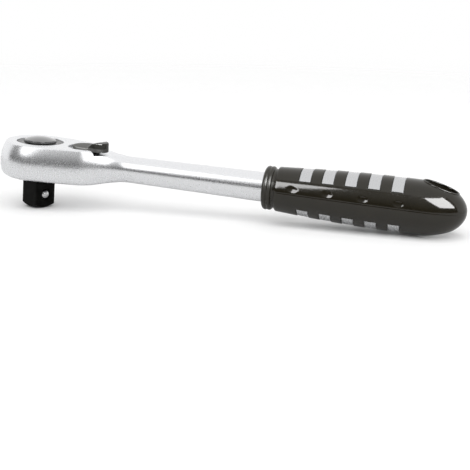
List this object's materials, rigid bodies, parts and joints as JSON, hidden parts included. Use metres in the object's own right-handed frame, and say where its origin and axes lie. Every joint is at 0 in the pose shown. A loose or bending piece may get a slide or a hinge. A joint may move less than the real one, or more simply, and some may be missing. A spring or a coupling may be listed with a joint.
{
  "type": "ratchet_handle",
  "caption": "Reversible ratchet handle with a half-inch square drive, quick-release button, thumb lever and a black moulded grip with bright windows",
  "frame": {"origin": "centre of the square drive's end face", "axes": "+Z along the drive axis from the end face up through the head to the button, +X along the handle from the drive axis to the grip, +Y to the left looking along +X from above"},
  "size_m": [0.2531, 0.042, 0.041],
  "materials": {
    "satin_chrome": "satin",
    "bright_steel": "satin",
    "polished_steel": "polished",
    "spring_steel": "satin",
    "black_oxide": "satin",
    "black_lever": "satin",
    "plated_core": "satin",
    "black_plastic": "gloss"
  },
  "bodies": {
    "handle": {"head_and_shank": "satin_chrome", "cover_plate": "bright_steel", "cover_retaining_ring": "spring_steel", "friction_washer": "spring_steel", "pawl_pin": "bright_steel", "lever_snap_ring": "spring_steel", "grip_core": "plated_core", "grip": "black_plastic"},
    "drive": {"drive_gear": "black_oxide", "button_collar": "black_oxide", "button_spring": "spring_steel"},
    "button": {"release_button": "black_oxide", "release_rod": "bright_steel"},
    "ball": {"detent_ball": "polished_steel"},
    "lever": {"reverse_lever": "black_lever", "detent_spring": "spring_steel"},
    "plunger": {"detent_plunger": "bright_steel"},
    "pawl": {"pawl": "bright_steel"}
  },
  "joints": [
    {"name": "drive_spin", "type": "hinge", "parent": "handle", "child": "drive", "pos_m": [0, 0, 0.02675], "axis": [0, 0, 1], "continuous": true},
    {"name": "button_press", "type": "slide", "parent": "drive", "child": "button", "axis": [0, 0, -1], "range_m": [0, 0.003], "stiffness_N_per_m": 3000, "springref_m": -0.002, "deforming": ["button_spring"]},
    {"name": "ball_slide", "type": "slide", "parent": "drive", "child": "ball", "axis": [-0.8729, 0.4879, 0], "range_m": [0, 0.00105]},
    {"name": "lever_turn", "type": "hinge", "parent": "handle", "child": "lever", "pos_m": [0.027, 0, 0.0266], "axis": [0, 0, 1], "range_deg": [0, 50]},
    {"name": "plunger_slide", "type": "slide", "parent": "lever", "child": "plunger", "axis": [0.9063, -0.4226, 0], "range_m": [0, 0.0008], "stiffness_N_per_m": 1500, "springref_m": -0.001, "deforming": ["detent_spring"]},
    {"name": "pawl_rock", "type": "hinge", "parent": "handle", "child": "pawl", "pos_m": [0.0182, 0, 0.0266], "axis": [0, 0, 1], "range_deg": [-18.5, 0.5]}
  ],
  "couplings": [
    {"joint": "ball_slide", "follows": "button_press", "ratio": 0.35},
    {"joint": "pawl_rock", "follows": "lever_turn", "ratio": -0.36}
  ]
}
